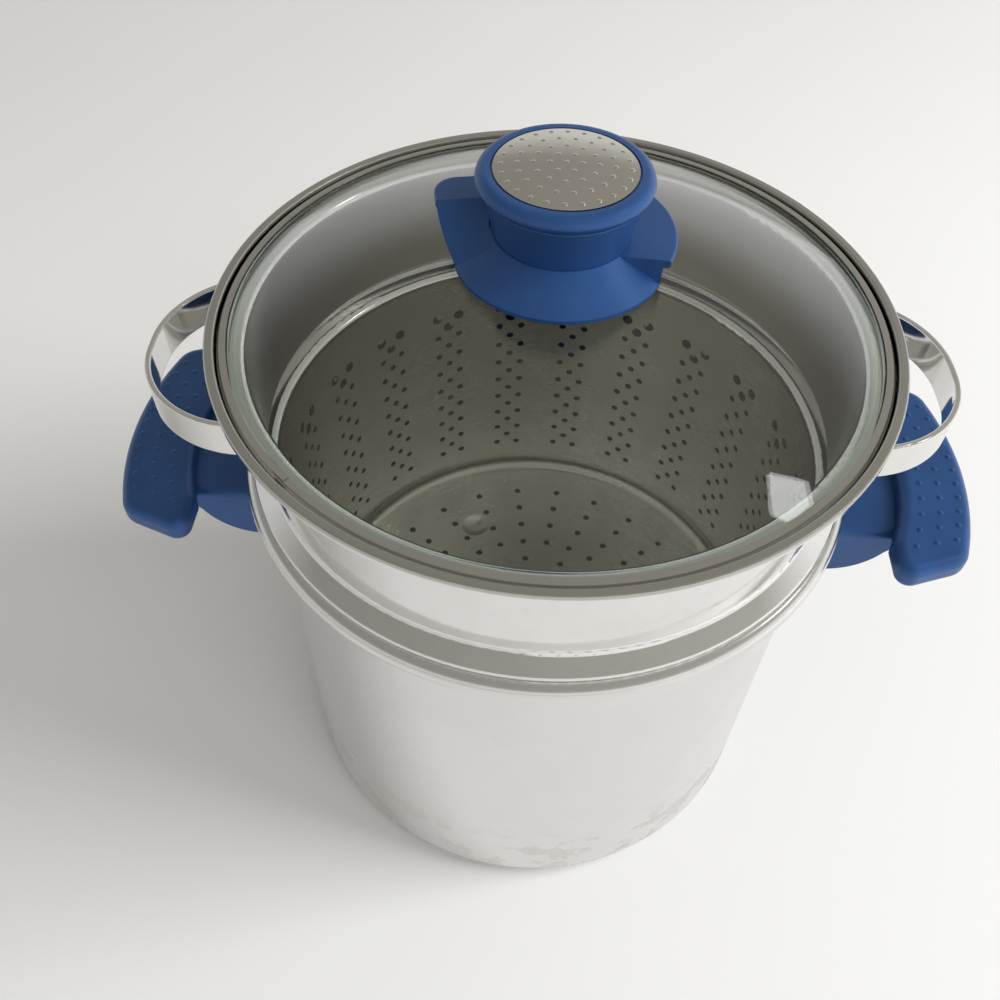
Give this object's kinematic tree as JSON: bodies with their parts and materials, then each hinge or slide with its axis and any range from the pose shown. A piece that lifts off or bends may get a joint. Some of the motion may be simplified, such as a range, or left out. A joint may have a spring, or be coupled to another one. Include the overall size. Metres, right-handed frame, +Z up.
{
  "type": "steamer pot",
  "caption": "Tall stockpot with moulded side grips, a perforated steamer basket with strap handles that hangs in its mouth, and a domed glass lid with a winged knob.",
  "frame": {"origin": "centre of the pot's underside, on the surface that it stands on", "axes": "+Z up along the pot's axis, +X through the right grip; the grips lie along X and the wide gap between them faces -Y"},
  "size_m": [0.3064, 0.2208, 0.2804],
  "materials": {
    "pot_steel": "satin polished",
    "basket_steel": "polished outside, satin inside",
    "strap_steel": "mirror polished",
    "fixing_steel": "plain",
    "base_aluminium": "plain",
    "blue_plastic": "satin",
    "lid_glass": "clear, faintly green at the edge",
    "seal_rubber": "milky silicone",
    "insert_brass": "turned"
  },
  "bodies": {
    "pot": {"pot_body": "pot_steel", "base_core": "base_aluminium", "base_cap": "pot_steel", "right_grip_bracket": "fixing_steel", "left_grip_bracket": "fixing_steel", "right_grip": "blue_plastic", "left_grip": "blue_plastic", "grip_screws": "fixing_steel", "grip_washers": "fixing_steel"},
    "basket": {"basket_shell": "basket_steel", "right_strap": "strap_steel", "left_strap": "strap_steel"},
    "lid": {"lid_glass": "lid_glass", "lid_band": "strap_steel", "band_joint": "strap_steel", "upper_seal": "seal_rubber", "lower_seal": "seal_rubber", "knob_flange": "blue_plastic", "knob_drum": "blue_plastic", "knob_ring": "blue_plastic", "knob_inlay": "strap_steel", "knob_insert": "insert_brass", "knob_washer": "fixing_steel", "knob_screw": "fixing_steel"}
  },
  "joints": [
    {"name": "basket_lift", "type": "slide", "parent": "pot", "child": "basket", "axis": [0, 0, 1], "range_m": [0, 0.16]},
    {"name": "lid_lift", "type": "slide", "parent": "basket", "child": "lid", "axis": [0, 0, 1], "range_m": [0, 0.1]}
  ]
}
